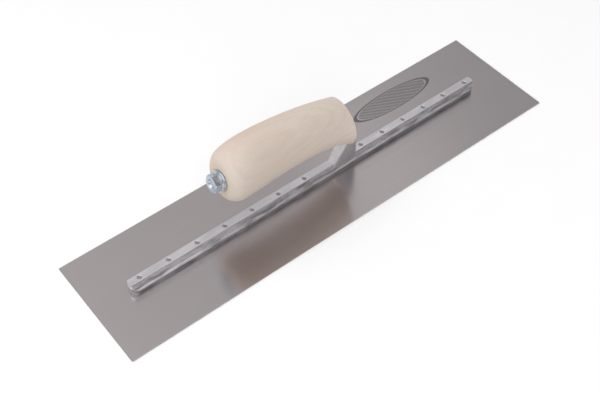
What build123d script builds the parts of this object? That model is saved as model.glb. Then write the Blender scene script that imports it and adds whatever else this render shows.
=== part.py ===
from build123d import *
import os
from math import cos, radians, sin, tan

# Steel finishing trowel, modelled in millimetres.
# +X runs along the blade towards its toe, where the shank stands; +Y is across the blade; +Z is up.
# The origin is the centre of the blade's underside, the face that rides on the concrete.

INCH = 25.4

# Blade: flat hardened sheet, 16 by 4 inch
BLADE_LENGTH = 16 * INCH
BLADE_WIDTH = 4 * INCH
BLADE_THICKNESS = 0.7
BLADE_CORNER_RADIUS = 0.8
BLADE_EDGE_BREAK = 0.12

# Mounting bar: an extruded rail, 13.5 inch long, with round noses
BAR_LENGTH = 13.5 * INCH
BAR_CENTRE_X = -1.5
BAR_HEIGHT = 9.9
BAR_BASE_HALF = 5.8
BAR_FLANGE_HEIGHT = 3.3
BAR_GROOVE_HALF = 4.0
BAR_GROOVE_LOW = 4.3
BAR_GROOVE_HIGH = 5.0
BAR_SIDE_MID_HALF = 3.45
BAR_TOP_HALF = 3.6
BAR_TOP_EDGE = 0.35
BAR_TOP = BLADE_THICKNESS + BAR_HEIGHT

# Rivets: solid, countersunk in the blade, closed flush in the bar's top
RIVET_PITCH = INCH
RIVET_REAR_X = -163.5
RIVET_REAR_COUNT = 7
RIVET_FRONT_PITCH = 22.6
RIVET_FRONT_X = 47.0
RIVET_FRONT_COUNT = 5
RIVET_LAST_X = 162.0
RIVET_RADIUS = 1.6
RIVET_HEAD_RADIUS = 2.5
RIVET_HEAD_DEPTH = 0.55
RIVET_RING = 0.28

# Shank: cast post let into the bar, leaning at its rear, with a gooseneck that carries the handle
SHANK_REAR_X = 14.6
SHANK_FRONT_X = 39.9
SHANK_FOOT_Z = BAR_TOP - 4.4
SHANK_HALF_THICKNESS = 4.8
SHANK_EDGE_RADIUS = 3.4
SHANK_BLANK_HALF = 6.0
SHANK_CROWN_X = 27.0
SHANK_CROWN_RADIUS = 75.0
SHOULDER_LOW_Z = 30.9
NECK_BEND_Z = 27.5
NECK_TOP_Z = 54.6

# Two countersunk screws come up through the blade and the bar into the shank's foot
SHANK_SCREW_PLACES = (20.5, 32.5)
SCREW_RADIUS = 2.1
SCREW_HEAD_RADIUS = 4.0
SCREW_HEAD_DEPTH = 2.3
SCREW_LENGTH = 15.0
SCREW_POINT = 0.6
SCREW_SLOT_WIDTH = 1.0
SCREW_SLOT_DEPTH = 0.9

# Tang and its socket in the handle
TANG_HEIGHT = 12.4
TANG_WIDTH = 11.6
TANG_CORNER = 3.0
TANG_LENGTH = 52.0
TANG_TAPER = 0.5
TANG_ROOT = 2.5
SOCKET_CLEARANCE = 0.15
SOCKET_END_GAP = 1.0

# Handle: one piece of wood, arched along its back, flared at its front and well rounded at its rear
HANDLE_FRONT_X = 25.6
HANDLE_FRONT_Z = 51.7
HANDLE_FRONT_LEAN = 4.3
HANDLE_FRONT_HALF_HEIGHT = 22.1
HANDLE_FRONT_HALF_WIDTH = 18.8
HANDLE_REAR_X = -87.5
HANDLE_REAR_RISE = 2.2
HANDLE_REAR_HALF_HEIGHT = 19.4
HANDLE_REAR_HALF_WIDTH = 18.4
# Each station between: place along the handle, height of its centre, half its height, half its width
HANDLE_STATIONS = [
    (-68.0, 64.8, 22.3, 20.7),
    (-45.0, 65.7, 21.9, 20.0),
    (-20.0, 64.0, 21.1, 18.8),
    (5.0, 59.5, 20.5, 17.8),
]
HANDLE_REAR_ROUND = 10.0
HANDLE_FRONT_ROUND = 1.2

# Bolt and washer: 5/16 inch bolt with an indented hex washer head
BOLT_SLOPE = 8.0
BOLT_REAR_Z = 62.9
BOLT_RADIUS = 5 / 32 * INCH
BOLT_GRIP = 22.0
BOLT_END_GAP = 4.0
BOLT_POINT = 1.0
BORE_RADIUS = 4.4
HEX_ACROSS_FLATS = 0.5 * INCH
HEX_TURN = 34
HEAD_HEIGHT = 6.8
HEX_CROWN = 0.75
HEX_CROWN_SLOPE = 1.8
HEX_DIMPLE_RADIUS = 4.3
HEX_DIMPLE_DEPTH = 1.5
FLANGE_RADIUS = 7.7
FLANGE_HEIGHT = 1.6
FLANGE_SLOPE = 1.4
WASHER_RADIUS = 8.4
WASHER_THICKNESS = 1.6
WASHER_HOLE_RADIUS = 4.3
WASHER_EDGE_BREAK = 0.3
SEAT_RADIUS = 8.8
SEAT_DEPTH = 0.3
SEAT_REACH = 5.0
HEAD_SEAT = SEAT_DEPTH - WASHER_THICKNESS

# The bolt's axis runs down from the handle's rear end to its front face
AXIS_FORWARD = Vector(cos(radians(BOLT_SLOPE)), 0, -sin(radians(BOLT_SLOPE)))
AXIS_REAR = Vector(HANDLE_REAR_X, 0, BOLT_REAR_Z)
AXIS_FRONT_Z = BOLT_REAR_Z - (HANDLE_FRONT_X - HANDLE_REAR_X) * tan(radians(BOLT_SLOPE))
AXIS_FRONT = Vector(HANDLE_FRONT_X, 0, AXIS_FRONT_Z)


def axis_plane(point):
    """A plane across the bolt's axis; its normal points forward and its local Y points up."""
    return Plane(origin=point, x_dir=(0, -1, 0), z_dir=AXIS_FORWARD)


def front_face_x(z):
    """Where the handle's leaning front face stands at a height."""
    return HANDLE_FRONT_X - (z - HANDLE_FRONT_Z) * tan(radians(HANDLE_FRONT_LEAN))


def rivet_places():
    """Where the rivets stand along the bar: a row behind the shank and a closer row in front of it."""
    rear = [RIVET_REAR_X + i * RIVET_PITCH for i in range(RIVET_REAR_COUNT)]
    front = [RIVET_FRONT_X + i * RIVET_FRONT_PITCH for i in range(RIVET_FRONT_COUNT)]
    return rear + front + [RIVET_LAST_X]


def rivet_at(x):
    """A closed rivet: a countersunk head in the blade, a stem, and a broken edge at the top."""
    with BuildPart() as rivet:
        with BuildSketch(Plane.XZ):
            with BuildLine():
                Polyline(
                    (0, 0),
                    (RIVET_HEAD_RADIUS, 0),
                    (RIVET_RADIUS, RIVET_HEAD_DEPTH),
                    (RIVET_RADIUS, BAR_TOP - RIVET_RING),
                    (RIVET_RADIUS - RIVET_RING, BAR_TOP),
                    (0, BAR_TOP),
                    close=True,
                )
            make_face()
        revolve(axis=Axis.Z)
    return Pos(x, 0, 0) * rivet.part


def rivet_hole(x):
    """The hole a rivet fills, flared at the top into the ring where the closed rivet ends."""
    hole = Pos(0, 0, BAR_TOP / 2) * Cylinder(RIVET_RADIUS, BAR_TOP)
    hole += Pos(0, 0, RIVET_HEAD_DEPTH / 2) * Cone(RIVET_HEAD_RADIUS, RIVET_RADIUS, RIVET_HEAD_DEPTH)
    flare = Cone(RIVET_RADIUS, RIVET_RADIUS + RIVET_RING, RIVET_RING)
    hole += Pos(0, 0, BAR_TOP - RIVET_RING / 2) * flare
    return Pos(x, 0, 0) * hole


def rivet_holes():
    return [rivet_hole(x) for x in rivet_places()]


def screw_blank():
    """A countersunk screw's outline, standing on its head: flat head, stem and a broken point."""
    head = Pos(0, 0, SCREW_HEAD_DEPTH / 2) * Cone(SCREW_HEAD_RADIUS, SCREW_RADIUS, SCREW_HEAD_DEPTH)
    stem = Pos(0, 0, SCREW_LENGTH / 2) * Cylinder(SCREW_RADIUS, SCREW_LENGTH)
    stem = chamfer(stem.faces().sort_by(Axis.Z)[-1].edges(), SCREW_POINT)
    return head + stem


def screw_holes():
    """The countersunk and tapped holes that the shank's two screws fill."""
    return [Pos(x, 0, 0) * screw_blank() for x in SHANK_SCREW_PLACES]


def make_shank_screws():
    """The two screws, each with a straight driving slot across its head."""
    slot = Pos(0, 0, SCREW_SLOT_DEPTH / 2) * Box(SCREW_SLOT_WIDTH, 2 * SCREW_HEAD_RADIUS, SCREW_SLOT_DEPTH)
    screw = screw_blank() - slot
    return [Pos(x, 0, 0) * screw for x in SHANK_SCREW_PLACES]


def make_blade():
    sheet = Pos(0, 0, BLADE_THICKNESS / 2) * Box(BLADE_LENGTH, BLADE_WIDTH, BLADE_THICKNESS)
    sheet = fillet(sheet.edges().filter_by(Axis.Z), BLADE_CORNER_RADIUS)
    sheet = chamfer(sheet.faces().sort_by(Axis.Z)[-1].edges(), BLADE_EDGE_BREAK)
    return sheet - rivet_holes() - screw_holes()


def bar_section():
    """The rail's section: a wide lower flange, a groove, a hollow side and a flat top."""
    top = BAR_HEIGHT
    with BuildSketch(Plane.YZ.offset(-BAR_LENGTH / 2)) as section:
        with BuildLine():
            Polyline((0, top), (0, 0), (BAR_BASE_HALF, 0), (BAR_BASE_HALF, BAR_FLANGE_HEIGHT),
                     (BAR_GROOVE_HALF, BAR_GROOVE_LOW), (BAR_GROOVE_HALF, BAR_GROOVE_HIGH))
            ThreePointArc(
                (BAR_GROOVE_HALF, BAR_GROOVE_HIGH),
                (BAR_SIDE_MID_HALF, (BAR_GROOVE_HIGH + top - BAR_TOP_EDGE) / 2),
                (BAR_TOP_HALF, top - BAR_TOP_EDGE),
            )
            Polyline((BAR_TOP_HALF, top - BAR_TOP_EDGE), (BAR_TOP_HALF - BAR_TOP_EDGE, top), (0, top))
        make_face()
        mirror(about=Plane.YZ)
    return section.sketch


def make_rail():
    """The whole rail before it is milled, with a vertical half-round nose at each end."""
    rail = extrude(bar_section(), BAR_LENGTH)
    plan = extrude(SlotOverall(BAR_LENGTH, 2 * BAR_BASE_HALF), BAR_HEIGHT)
    return Pos(BAR_CENTRE_X, 0, BLADE_THICKNESS) * (rail & plan)


def make_mounting_bar(shank):
    """The rail, drilled for its rivets and screws and milled to the shape of the shank's foot."""
    return make_rail() - shank - rivet_holes() - screw_holes()


def post_profile():
    """Side outline of the foot, post and neck; its rear edge ends at the handle's front face."""
    neck_x = front_face_x(NECK_TOP_Z)
    with BuildSketch(Plane.XZ.offset(-SHANK_BLANK_HALF)) as profile:
        with BuildLine():
            Polyline(
                (SHANK_FRONT_X, NECK_BEND_Z),
                (SHANK_FRONT_X, SHANK_FOOT_Z),
                (SHANK_REAR_X, SHANK_FOOT_Z),
                (SHANK_REAR_X, BAR_TOP),
                (front_face_x(SHOULDER_LOW_Z), SHOULDER_LOW_Z),
                (neck_x, NECK_TOP_Z),
            )
            EllipticalCenterArc(
                (neck_x, NECK_BEND_Z),
                SHANK_FRONT_X - neck_x,
                NECK_TOP_Z - NECK_BEND_Z,
                start_angle=0,
                arc_size=90,
            )
        make_face()
    return profile.sketch


def crown_side(side):
    """A large upright cylinder whose wall crowns one side of the post; side is 1 or -1."""
    offset = side * (SHANK_CROWN_RADIUS - SHANK_HALF_THICKNESS)
    return Pos(SHANK_CROWN_X, offset, NECK_TOP_Z / 2) * Cylinder(SHANK_CROWN_RADIUS, 2 * NECK_TOP_Z)


def is_rounded(edge):
    """True for the post's outer edges; those at the handle's face and under the foot stay sharp."""
    place = edge.center()
    at_handle = abs(place.X - front_face_x(place.Z)) < 0.1
    under_foot = abs(place.Z - SHANK_FOOT_Z) < 0.1
    return not at_handle and not under_foot


def make_post():
    """The post with crowned sides and round outer edges."""
    post = extrude(post_profile(), 2 * SHANK_BLANK_HALF) & crown_side(1) & crown_side(-1)
    outline = ShapeList([edge for face in post.faces().filter_by(GeomType.CYLINDER) for edge in face.edges()])
    return fillet(outline.filter_by(is_rounded), SHANK_EDGE_RADIUS)


def along_axis(shape, distance):
    """A shape built up from Z = 0, laid forward along the bolt's axis from a distance inside the handle."""
    return axis_plane(AXIS_REAR + AXIS_FORWARD * distance) * shape


def tang_end():
    """Distance along the axis from the handle's rear face to the tang's rear end."""
    return (AXIS_FRONT - AXIS_REAR).length - TANG_LENGTH


def make_shank():
    """Foot, post, neck and tang in one casting, tapped for the bolt and for its two screws."""
    shank = make_post() + make_tang()
    tapping = extrude(Circle(BOLT_RADIUS), BOLT_GRIP + BOLT_END_GAP)
    return shank - along_axis(tapping, tang_end()) - screw_holes()


def handle_section(x, z, half_height, half_width):
    return Plane(origin=(x, 0, z), x_dir=(0, 1, 0), z_dir=(1, 0, 0)) * Ellipse(half_width, half_height)


def front_plane():
    """The plane of the handle's front face; its normal points forward and its local Y points up."""
    lean = radians(HANDLE_FRONT_LEAN)
    return Plane(origin=(HANDLE_FRONT_X, 0, HANDLE_FRONT_Z), x_dir=(0, 1, 0), z_dir=(cos(lean), 0, sin(lean)))


def round_end(handle, index, radius):
    """Rounds the rim of the handle's rear face (index 0) or front face (index -1)."""
    face = handle.faces().filter_by(GeomType.PLANE).sort_by(Axis.X)[index]
    return fillet(face.edges(), radius)


def make_handle():
    """Shaped wood, arched and flared, with round rims, a socket, a bore and a seat for the washer."""
    rear_outline = Pos(0, HANDLE_REAR_RISE) * Ellipse(HANDLE_REAR_HALF_WIDTH, HANDLE_REAR_HALF_HEIGHT)
    rear = axis_plane(AXIS_REAR) * rear_outline
    front = front_plane() * Ellipse(HANDLE_FRONT_HALF_WIDTH, HANDLE_FRONT_HALF_HEIGHT)
    handle = loft([rear] + [handle_section(*station) for station in HANDLE_STATIONS] + [front])
    handle = round_end(handle, 0, HANDLE_REAR_ROUND)
    handle = round_end(handle, -1, HANDLE_FRONT_ROUND)
    bore = extrude(Circle(BORE_RADIUS), tang_end())
    seat = extrude(Circle(SEAT_RADIUS), SEAT_REACH)
    return handle - make_socket() - along_axis(bore, 0) - along_axis(seat, SEAT_DEPTH - SEAT_REACH)


def make_tang(clearance=0.0, end_gap=0.0):
    """Tapered tang along the bolt's axis, rooted inside the neck; with clearance, the socket it fills."""
    plane = axis_plane(AXIS_FRONT + AXIS_FORWARD * TANG_ROOT)
    width = TANG_WIDTH + 2 * clearance
    height = TANG_HEIGHT + 2 * clearance
    blank = plane * RectangleRounded(width, height, TANG_CORNER + clearance)
    return extrude(blank, -(TANG_ROOT + TANG_LENGTH + end_gap), taper=TANG_TAPER)


def make_socket():
    return make_tang(SOCKET_CLEARANCE, SOCKET_END_GAP)


def make_handle_bolt():
    """Indented hex head on a washer flange, crowned at its outer corners, with a plain stem."""
    flange = extrude(Circle(FLANGE_RADIUS), -FLANGE_HEIGHT)
    flange = chamfer(flange.faces().sort_by(Axis.Z)[0].edges(), FLANGE_HEIGHT / 2, FLANGE_SLOPE)
    hexagon = RegularPolygon(HEX_ACROSS_FLATS / 2, 6, major_radius=False, rotation=HEX_TURN)
    hexagon = extrude(hexagon, -HEAD_HEIGHT)
    corner = HEX_ACROSS_FLATS / 2 / cos(radians(30))
    crown = Cone(corner - HEX_CROWN, corner - HEX_CROWN + HEAD_HEIGHT * HEX_CROWN_SLOPE, HEAD_HEIGHT)
    head = flange + (hexagon & (Pos(0, 0, -HEAD_HEIGHT / 2) * crown))
    dimple = Cone(HEX_DIMPLE_RADIUS, HEX_DIMPLE_RADIUS - HEX_DIMPLE_DEPTH, HEX_DIMPLE_DEPTH)
    head -= Pos(0, 0, HEX_DIMPLE_DEPTH / 2 - HEAD_HEIGHT) * dimple
    stem = extrude(Circle(BOLT_RADIUS), tang_end() + BOLT_GRIP - HEAD_SEAT)
    stem = chamfer(stem.faces().sort_by(Axis.Z)[-1].edges(), BOLT_POINT)
    return along_axis(head + stem, HEAD_SEAT)


def make_handle_washer():
    washer = extrude(Circle(WASHER_RADIUS) - Circle(WASHER_HOLE_RADIUS), WASHER_THICKNESS)
    rims = washer.edges().filter_by(GeomType.CIRCLE).sort_by(SortBy.LENGTH)[-2:]
    return along_axis(chamfer(rims, WASHER_EDGE_BREAK), HEAD_SEAT)


def write_part(name, shapes):
    """Writes one node: a single solid, or a compound of separate solids that are alike."""
    solids = shapes if isinstance(shapes, list) else [shapes]
    solids = [solid for shape in solids for solid in shape.solids()]
    node = solids[0] if len(solids) == 1 else Compound(children=solids)
    export_step(node, f"parts/{name}.step")


def main():
    os.makedirs("parts", exist_ok=True)
    shank = make_shank()
    write_part("blade", make_blade())
    write_part("mounting_bar", make_mounting_bar(shank))
    write_part("shank", shank)
    write_part("handle", make_handle())
    write_part("handle_bolt", make_handle_bolt())
    write_part("handle_washer", make_handle_washer())
    write_part("blade_rivets", [rivet_at(x) for x in rivet_places()])
    write_part("shank_screws", make_shank_screws())


if __name__ == "__main__":
    main()
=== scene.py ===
from math import cos, pi, radians, sin

import bpy
from mathutils import Matrix, Vector


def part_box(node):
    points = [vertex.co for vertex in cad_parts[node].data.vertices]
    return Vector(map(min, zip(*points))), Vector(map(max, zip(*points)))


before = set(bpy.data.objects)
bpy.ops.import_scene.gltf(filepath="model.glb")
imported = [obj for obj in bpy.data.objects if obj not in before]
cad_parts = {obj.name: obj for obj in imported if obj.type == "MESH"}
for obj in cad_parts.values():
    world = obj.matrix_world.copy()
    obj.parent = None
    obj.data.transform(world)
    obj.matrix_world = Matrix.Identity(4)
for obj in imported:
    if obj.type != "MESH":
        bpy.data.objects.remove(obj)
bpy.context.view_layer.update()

MM = 0.001

# Camera: the photograph's viewing angle, aimed at a point in the plane of the blade's underside
CAMERA_AIM = Vector((-0.0219, -0.0083, 0.0))
CAMERA_DISTANCE = 0.8045
CAMERA_AZIMUTH = -38.07
CAMERA_ELEVATION = 50.05
CAMERA_ROLL = -0.37
CAMERA_LENS = 61.79

# Studio: a room that is brighter on one side and darker on the other, one large soft panel overhead
# and a small weak one on the bright side
ROOM_DARK = (0.22, 0.22, 0.225)
ROOM_BRIGHT = (0.80, 0.795, 0.80)
ROOM_BRIGHT_SIDE = (-0.22, 0.71, 0.67)
FLOOR_SIZE = 20.0
FLOOR_DROP = 0.2 * MM
PANEL_OVERHEAD = {"place": (-1.1, -0.5, 2.05), "size": (4.4, 4.4), "power": 74.0}
PANEL_SIDE = {"place": (1.40, 1.26, 2.2), "size": (0.5, 0.5), "power": 0.24}

# Blade: a lighter band of painted highlight runs along its long edges, and a plain oval badge, hatched,
# is etched ahead of the handle
BLADE_EDGE_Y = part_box("blade")[1][1]
# Width of the painted highlight along the blade's long edges
EDGE_HIGHLIGHT_WIDTH = 1.0 * MM
BADGE_X = 108 * MM
BADGE_Y = 30 * MM
BADGE_HALF_LENGTH = 40 * MM
BADGE_HALF_HEIGHT = 10 * MM
BADGE_RIM = 0.045
BADGE_HATCH = 2.6 * MM

# Mounting bar: the flange lies below the groove in its sides and is painted darker as shade, and only
# its top face is linished
BAR_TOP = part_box("mounting_bar")[1][2]
GROOVE_Z = 5.4 * MM
GROOVE_BLEND = 1.0 * MM
LINISH_START = BAR_TOP - 0.4 * MM
LINISH_FULL = BAR_TOP - 0.2 * MM

# Wood: the pith runs along the handle, outside it, and the wood grows lighter toward the front
PITH_Y = 26 * MM
PITH_Z = 22 * MM
RING_WIDTH = 3.2 * MM
LIGHTER_FROM_X = -60 * MM
LIGHTER_TO_X = 25 * MM

# Grain of the materials, in cycles per metre along X, Y and Z
GRIND_LINES = (5, 1400, 1)
BLADE_CLOUDS = (9, 30, 1)
DIE_LINES = (8, 1500, 1500)
BAR_STAINS = (45, 160, 160)
BAR_STREAKS = (55, 420, 420)
WOOD_FIBRES = (22, 1100, 1100)
WOOD_FLECKS = (140, 1500, 1500)
WOOD_PATCHES = (16, 45, 45)
RING_SWAY = (9, 30, 30)
SCREW_LINES = (200, 2500, 200)

# A wave texture at scale 1 turns through this many radians in a metre
WAVE_RADIANS = 20.0

# Sockets of a colour Mix node, which shares their names with its number and vector sockets
MIX_FIRST = 6
MIX_SECOND = 7
MIX_RESULT = 2


class Shader:
    """A material under construction: one principled shader and the nodes that feed it.

    Every pattern starts from object coordinates, which are the frame's own, in metres.
    """

    def __init__(self, name, **settings):
        self.material = bpy.data.materials.new(name)
        self.material.use_nodes = True
        self.tree = self.material.node_tree
        self.surface = self.tree.nodes["Principled BSDF"]
        for socket, value in settings.items():
            self.surface.inputs[socket].default_value = value
        self.place = self.add("ShaderNodeTexCoord").outputs["Object"]

    def add(self, kind, **settings):
        made = self.tree.nodes.new(kind)
        for key, value in settings.items():
            setattr(made, key, value)
        return made

    def feed(self, target, value):
        """Puts a number, a colour or another node's output into a socket."""
        if isinstance(value, bpy.types.NodeSocket):
            self.tree.links.new(value, target)
        else:
            target.default_value = value

    def set(self, socket, value):
        """Feeds one of the principled shader's own sockets."""
        self.feed(self.surface.inputs[socket], value)

    def math(self, operation, *values):
        """One step of arithmetic on numbers or outputs."""
        made = self.add("ShaderNodeMath", operation=operation)
        for target, value in zip(made.inputs, values):
            self.feed(target, value)
        return made.outputs[0]

    def axis(self, name):
        """One coordinate of the point being shaded: X, Y or Z."""
        made = self.add("ShaderNodeSeparateXYZ")
        self.feed(made.inputs[0], self.place)
        return made.outputs[name]

    def stretched(self, grain):
        """Coordinates scaled differently along each axis."""
        made = self.add("ShaderNodeMapping")
        self.feed(made.inputs["Vector"], self.place)
        made.inputs["Scale"].default_value = grain
        return made.outputs[0]

    def noise(self, vector, detail=3.0, roughness=0.5, scale=1.0):
        made = self.add("ShaderNodeTexNoise")
        self.feed(made.inputs["Vector"], vector)
        made.inputs["Scale"].default_value = scale
        made.inputs["Detail"].default_value = detail
        made.inputs["Roughness"].default_value = roughness
        return made.outputs["Fac"]

    def remap(self, value, low, high, to_low=0.0, to_high=1.0):
        """A value's range, clamped and moved to another range."""
        made = self.add("ShaderNodeMapRange")
        for target, number in zip(made.inputs, (value, low, high, to_low, to_high)):
            self.feed(target, number)
        return made.outputs[0]

    def mix(self, amount, first, second):
        """Two colours mixed by an amount."""
        made = self.add("ShaderNodeMix", data_type="RGBA")
        self.feed(made.inputs["Factor"], amount)
        self.feed(made.inputs[MIX_FIRST], first)
        self.feed(made.inputs[MIX_SECOND], second)
        return made.outputs[MIX_RESULT]

    def bump(self, height, depth, below=None):
        """Relief of a given depth in metres, laid over the relief below it."""
        made = self.add("ShaderNodeBump")
        made.inputs["Strength"].default_value = 1.0
        made.inputs["Distance"].default_value = depth
        self.feed(made.inputs["Height"], height)
        if below is not None:
            self.feed(made.inputs["Normal"], below)
        return made.outputs[0]

    def dress(self, *names):
        """Gives this material to CAD nodes, in place of the one they came with."""
        for name in names:
            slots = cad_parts[name].data.materials
            slots.clear()
            slots.append(self.material)


def colour(red, green, blue):
    return (red, green, blue, 1.0)


def spread_across(shader):
    """Stretches a shader's highlights across the blade, at right angles to its lengthwise grind."""
    tangent = shader.add("ShaderNodeCombineXYZ")
    tangent.inputs["Y"].default_value = 1.0
    shader.set("Tangent", tangent.outputs[0])


def etched_badge(shader):
    """How far a point lies in the etched badge: an oval rim round a field of slanting lines."""
    x = shader.axis("X")
    y = shader.axis("Y")
    along = shader.math("DIVIDE", shader.math("SUBTRACT", x, BADGE_X), BADGE_HALF_LENGTH)
    across = shader.math("DIVIDE", shader.math("SUBTRACT", y, BADGE_Y), BADGE_HALF_HEIGHT)
    along_squared = shader.math("MULTIPLY", along, along)
    across_squared = shader.math("MULTIPLY", across, across)
    out = shader.math("SQRT", shader.math("ADD", along_squared, across_squared))
    rim = shader.math("COMPARE", out, 1.0, BADGE_RIM)
    slant = shader.math("FLOORED_MODULO", shader.math("ADD", x, y), BADGE_HATCH)
    hatch = shader.math("LESS_THAN", slant, BADGE_HATCH / 2)
    inside = shader.math("LESS_THAN", out, 1 - 2 * BADGE_RIM)
    return shader.math("MAXIMUM", rim, shader.math("MULTIPLY", hatch, inside))


def blade_steel():
    """Ground satin sheet: faint lengthwise lines, soft clouds, a painted highlight along the long edges
    and the etched badge.
    """
    cloud_dark = colour(0.450, 0.418, 0.420)
    cloud_light = colour(0.488, 0.453, 0.457)
    line_dark = colour(0.425, 0.390, 0.398)
    # Painted highlight: the lighter colour laid along the blade's long edges
    painted_edge_highlight = colour(0.58, 0.55, 0.56)
    etched = colour(0.22, 0.205, 0.21)

    shader = Shader("blade_steel", Metallic=1.0, Anisotropic=0.7)
    lines = shader.noise(shader.stretched(GRIND_LINES), detail=3.0, roughness=0.6)
    clouds = shader.noise(shader.stretched(BLADE_CLOUDS), detail=2.0)
    clouded = shader.mix(clouds, cloud_dark, cloud_light)
    ground = shader.mix(shader.remap(lines, 0.35, 0.65, to_high=0.3), clouded, line_dark)
    from_middle = shader.math("ABSOLUTE", shader.axis("Y"))
    # Painted highlight: a lighter band along both long edges of the blade
    rim = shader.remap(from_middle, BLADE_EDGE_Y - EDGE_HIGHLIGHT_WIDTH, BLADE_EDGE_Y)
    badge = etched_badge(shader)
    shader.set("Base Color", shader.mix(badge, shader.mix(rim, ground, painted_edge_highlight), etched))
    gloss = shader.remap(lines, 0.3, 0.7, to_low=0.19, to_high=0.23)
    shader.set("Roughness", shader.math("ADD", gloss, shader.math("MULTIPLY", badge, 0.2)))
    shader.set("Normal", shader.bump(lines, depth=0.002 * MM))
    spread_across(shader)
    shader.dress("blade")


def bar_aluminium():
    """Extruded rail: dull streaked sides with die lines, a flange painted darker as shade, and a top
    linished bright.
    """
    side_dark = colour(0.50, 0.48, 0.50)
    side_light = colour(0.92, 0.90, 0.93)
    # Painted shade: the flange's colours are darker than those of the side above the groove
    shaded_flange_dark = colour(0.30, 0.29, 0.30)
    shaded_flange_light = colour(0.56, 0.545, 0.565)
    top_dark = colour(0.60, 0.58, 0.605)
    top_light = colour(0.71, 0.69, 0.715)

    shader = Shader("bar_aluminium", Metallic=1.0)
    lines = shader.noise(shader.stretched(DIE_LINES), detail=3.0, roughness=0.6)
    stains = shader.noise(shader.stretched(BAR_STAINS), detail=4.0, roughness=0.6)
    streaks = shader.noise(shader.stretched(BAR_STREAKS), detail=3.0, roughness=0.65)
    streaked = shader.remap(streaks, 0.38, 0.54)
    above_flange = shader.remap(shader.axis("Z"), GROOVE_Z - GROOVE_BLEND, GROOVE_Z + GROOVE_BLEND)
    # Painted shade on the flange below the groove
    shaded_flange = shader.mix(streaked, shaded_flange_dark, shaded_flange_light)
    side = shader.mix(above_flange, shaded_flange, shader.mix(streaked, side_dark, side_light))
    top = shader.mix(shader.remap(stains, 0.35, 0.65), top_dark, top_light)
    linished = shader.remap(shader.axis("Z"), LINISH_START, LINISH_FULL)
    shader.set("Base Color", shader.mix(linished, side, top))
    dullness = shader.remap(linished, 0.0, 1.0, to_low=0.56, to_high=0.26)
    unevenness = shader.remap(lines, 0.3, 0.7, to_low=-0.05, to_high=0.05)
    shader.set("Roughness", shader.math("ADD", dullness, unevenness))
    shader.set("Normal", shader.bump(lines, depth=0.006 * MM))
    shader.dress("mounting_bar")


def shank_aluminium():
    """Cast aluminium, tumbled: an uneven skin with small dents and darker hollows."""
    hollow = colour(0.66, 0.635, 0.65)
    worn = colour(0.84, 0.815, 0.83)

    shader = Shader("shank_aluminium", Metallic=1.0)
    skin = shader.noise(shader.place, detail=4.0, scale=260.0)
    grit = shader.noise(shader.place, detail=3.0, scale=1400.0)
    shader.set("Base Color", shader.mix(skin, hollow, worn))
    shader.set("Roughness", shader.remap(grit, 0.3, 0.7, to_low=0.46, to_high=0.58))
    pits = shader.bump(grit, depth=0.01 * MM)
    shader.set("Normal", shader.bump(skin, depth=0.06 * MM, below=pits))
    shader.dress("shank")


def growth_rings(shader):
    """Rings about the pith, slightly wavy along the grain."""
    around = shader.add("ShaderNodeMapping")
    shader.feed(around.inputs["Vector"], shader.place)
    around.inputs["Location"].default_value = (0, -PITH_Y, -PITH_Z)
    sway = shader.noise(shader.stretched(RING_SWAY), detail=2.0)
    wave = shader.add("ShaderNodeTexWave", wave_type="RINGS", rings_direction="X")
    shader.feed(wave.inputs["Vector"], around.outputs[0])
    wave.inputs["Scale"].default_value = 2 * pi / (WAVE_RADIANS * RING_WIDTH)
    shader.feed(wave.inputs["Phase Offset"], shader.remap(sway, 0.0, 1.0, to_high=14.0))
    return wave.outputs["Fac"]


def handle_wood():
    """Sanded pale wood: soft growth rings, fine fibres, short flecks and pinkish patches."""
    pinkish = colour(0.665, 0.535, 0.452)
    sandy = colour(0.65, 0.575, 0.50)
    pale = colour(0.78, 0.68, 0.595)
    ring_dark = colour(0.60, 0.485, 0.405)
    fibre_dark = colour(0.58, 0.465, 0.39)
    fleck_dark = colour(0.41, 0.31, 0.24)

    shader = Shader("handle_wood")
    fibres = shader.noise(shader.stretched(WOOD_FIBRES), detail=3.0, roughness=0.6)
    flecks = shader.noise(shader.stretched(WOOD_FLECKS), detail=1.0)
    patches = shader.noise(shader.stretched(WOOD_PATCHES), detail=2.0)
    patched = shader.mix(shader.remap(patches, 0.35, 0.65), pinkish, sandy)
    toward_front = shader.remap(shader.axis("X"), LIGHTER_FROM_X, LIGHTER_TO_X, to_high=0.7)
    plain = shader.mix(toward_front, patched, pale)
    rings = shader.remap(growth_rings(shader), 0.3, 1.0, to_high=0.22)
    ringed = shader.mix(rings, plain, ring_dark)
    fibred = shader.mix(shader.remap(fibres, 0.35, 0.65, to_high=0.3), ringed, fibre_dark)
    flecked = shader.mix(shader.remap(flecks, 0.68, 0.76, to_high=0.25), fibred, fleck_dark)
    shader.set("Base Color", flecked)
    shader.set("Roughness", shader.remap(fibres, 0.3, 0.7, to_low=0.52, to_high=0.68))
    shader.set("Normal", shader.bump(fibres, depth=0.03 * MM))
    shader.dress("handle")


def zinc_steel():
    """Bright zinc plate, cool and slightly mottled."""
    shader = Shader("zinc_steel", Metallic=1.0)
    mottle = shader.noise(shader.place, detail=4.0, scale=350.0)
    grit = shader.noise(shader.place, detail=2.0, scale=1800.0)
    shader.set("Base Color", shader.mix(mottle, colour(0.40, 0.45, 0.50), colour(0.62, 0.68, 0.74)))
    shader.set("Roughness", shader.remap(mottle, 0.3, 0.7, to_low=0.18, to_high=0.34))
    shader.set("Normal", shader.bump(grit, depth=0.02 * MM))
    shader.dress("handle_bolt", "handle_washer")


def rivet_metal():
    """Ends of the rivets, closed and ground flush."""
    shader = Shader("rivet_metal", Metallic=1.0)
    grain = shader.noise(shader.place, detail=3.0, scale=900.0)
    shader.set("Base Color", shader.mix(grain, colour(0.20, 0.19, 0.20), colour(0.42, 0.41, 0.42)))
    shader.set("Roughness", shader.remap(grain, 0.3, 0.7, to_low=0.3, to_high=0.5))
    shader.dress("blade_rivets")


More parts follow.
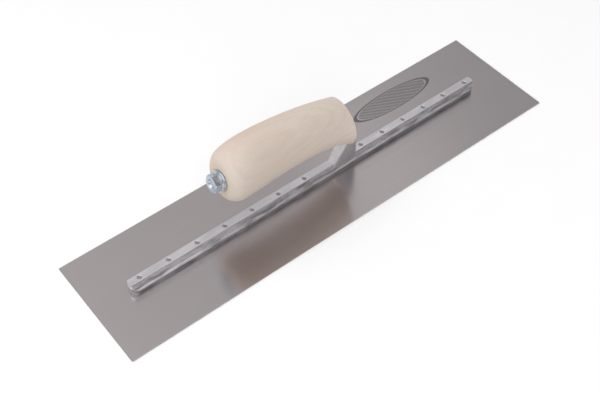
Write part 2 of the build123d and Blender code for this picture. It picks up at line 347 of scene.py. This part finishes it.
def screw_steel():
    """Plain steel screws under the blade, ground with it."""
    shader = Shader("screw_steel", Metallic=1.0)
    grain = shader.noise(shader.stretched(SCREW_LINES), detail=3.0)
    shader.set("Base Color", shader.mix(grain, colour(0.34, 0.34, 0.35), colour(0.48, 0.48, 0.49)))
    shader.set("Roughness", shader.remap(grain, 0.3, 0.7, to_low=0.25, to_high=0.4))
    shader.dress("shank_screws")


def make_floor():
    mesh = bpy.data.meshes.new("floor")
    half = FLOOR_SIZE / 2
    corners = [(-half, -half), (half, -half), (half, half), (-half, half)]
    mesh.from_pydata([(x, y, -FLOOR_DROP) for x, y in corners], [], [(0, 1, 2, 3)])
    floor = bpy.data.objects.new("floor", mesh)
    bpy.context.scene.collection.objects.link(floor)
    shader = Shader("studio_floor", Roughness=0.9)
    grain = shader.noise(shader.place, scale=30.0)
    shader.set("Base Color", shader.mix(grain, colour(0.96, 0.96, 0.96), colour(0.98, 0.98, 0.98)))
    mesh.materials.append(shader.material)


def make_panel(name, place, size, power):
    """A soft rectangular light that faces the middle of the object."""
    light = bpy.data.lights.new(name, "AREA")
    light.shape = "RECTANGLE"
    light.size, light.size_y = size
    light.energy = power
    panel = bpy.data.objects.new(name, light)
    panel.location = place
    panel.rotation_euler = (-Vector(place)).to_track_quat("-Z", "Y").to_euler()
    bpy.context.scene.collection.objects.link(panel)


def make_room():
    """The room's light, from its dark side to its bright side by direction."""
    world = bpy.data.worlds.new("room")
    world.use_nodes = True
    tree = world.node_tree
    direction = tree.nodes.new("ShaderNodeTexCoord")
    facing = tree.nodes.new("ShaderNodeVectorMath")
    facing.operation = "DOT_PRODUCT"
    facing.inputs[1].default_value = ROOM_BRIGHT_SIDE
    shade = tree.nodes.new("ShaderNodeMix")
    shade.data_type = "RGBA"
    shade.inputs[MIX_FIRST].default_value = colour(*ROOM_DARK)
    shade.inputs[MIX_SECOND].default_value = colour(*ROOM_BRIGHT)
    tree.links.new(direction.outputs["Generated"], facing.inputs[0])
    tree.links.new(facing.outputs["Value"], shade.inputs["Factor"])
    tree.links.new(shade.outputs[MIX_RESULT], tree.nodes["Background"].inputs["Color"])
    bpy.context.scene.world = world


def make_studio():
    bpy.context.scene.view_settings.view_transform = "Standard"
    make_room()
    make_floor()
    make_panel("panel_overhead", **PANEL_OVERHEAD)
    make_panel("panel_side", **PANEL_SIDE)


def make_camera():
    """The scene's camera, looking at its aim from its azimuth, elevation and distance."""
    turn = radians(CAMERA_AZIMUTH)
    rise = radians(CAMERA_ELEVATION)
    back = Vector((sin(turn) * cos(rise), -cos(turn) * cos(rise), sin(rise)))
    lens = bpy.data.cameras.new("camera")
    lens.lens = CAMERA_LENS
    camera = bpy.data.objects.new("camera", lens)
    upright = (-back).to_track_quat("-Z", "Y")
    roll = Matrix.Rotation(radians(CAMERA_ROLL), 3, back).to_quaternion()
    camera.rotation_mode = "QUATERNION"
    camera.rotation_quaternion = roll @ upright
    camera.location = CAMERA_AIM + back * CAMERA_DISTANCE
    bpy.context.scene.collection.objects.link(camera)
    bpy.context.scene.camera = camera


make_camera()
make_studio()
blade_steel()
bar_aluminium()
shank_aluminium()
handle_wood()
zinc_steel()
rivet_metal()
screw_steel()
